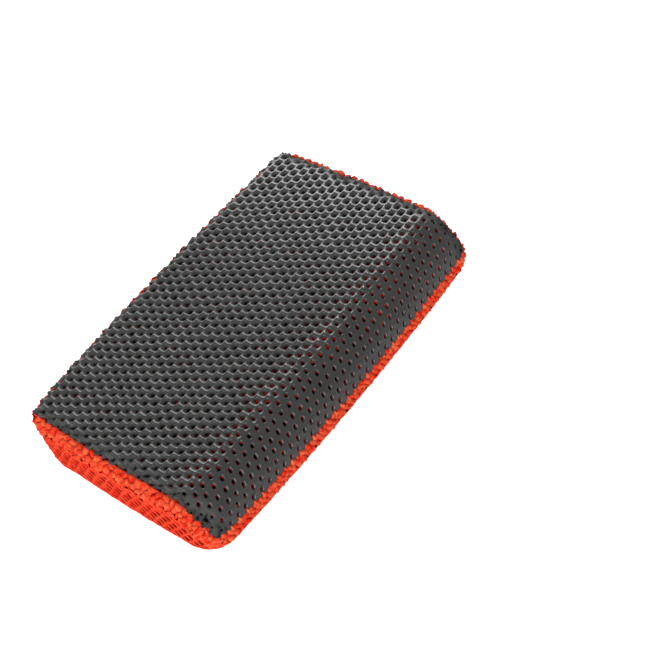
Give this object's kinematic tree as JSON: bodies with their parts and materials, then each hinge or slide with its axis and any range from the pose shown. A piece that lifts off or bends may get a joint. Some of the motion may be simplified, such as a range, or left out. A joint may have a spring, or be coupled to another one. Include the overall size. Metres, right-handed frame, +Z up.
{
  "type": "sponge rubbing block",
  "caption": "Foam hand block in a sewn mesh cover, with a coated holed working face that wraps round one long side.",
  "frame": {"origin": "centre of the block's footprint, on the plane it rests on", "axes": "+X along the block's length, -Y towards the rounded long side that the working panel wraps, +Z up out of the working face"},
  "size_m": [0.12, 0.075, 0.03],
  "materials": {
    "foam": "matt open-cell foam",
    "coating": "satin rubbery coating",
    "knit": "matt polyester knit",
    "mesh": "polyester air mesh",
    "stitching": "twisted polyester thread"
  },
  "bodies": {
    "root": {"foam_core": "foam", "clay_coating": "coating", "working_panel_knit": "knit", "mesh_cover": "mesh", "top_edge_seam": "stitching", "closing_seam": "stitching", "near_end_seam": "stitching", "far_end_seam": "stitching", "near_corner_seam": "stitching", "far_corner_seam": "stitching"}
  },
  "joints": []
}
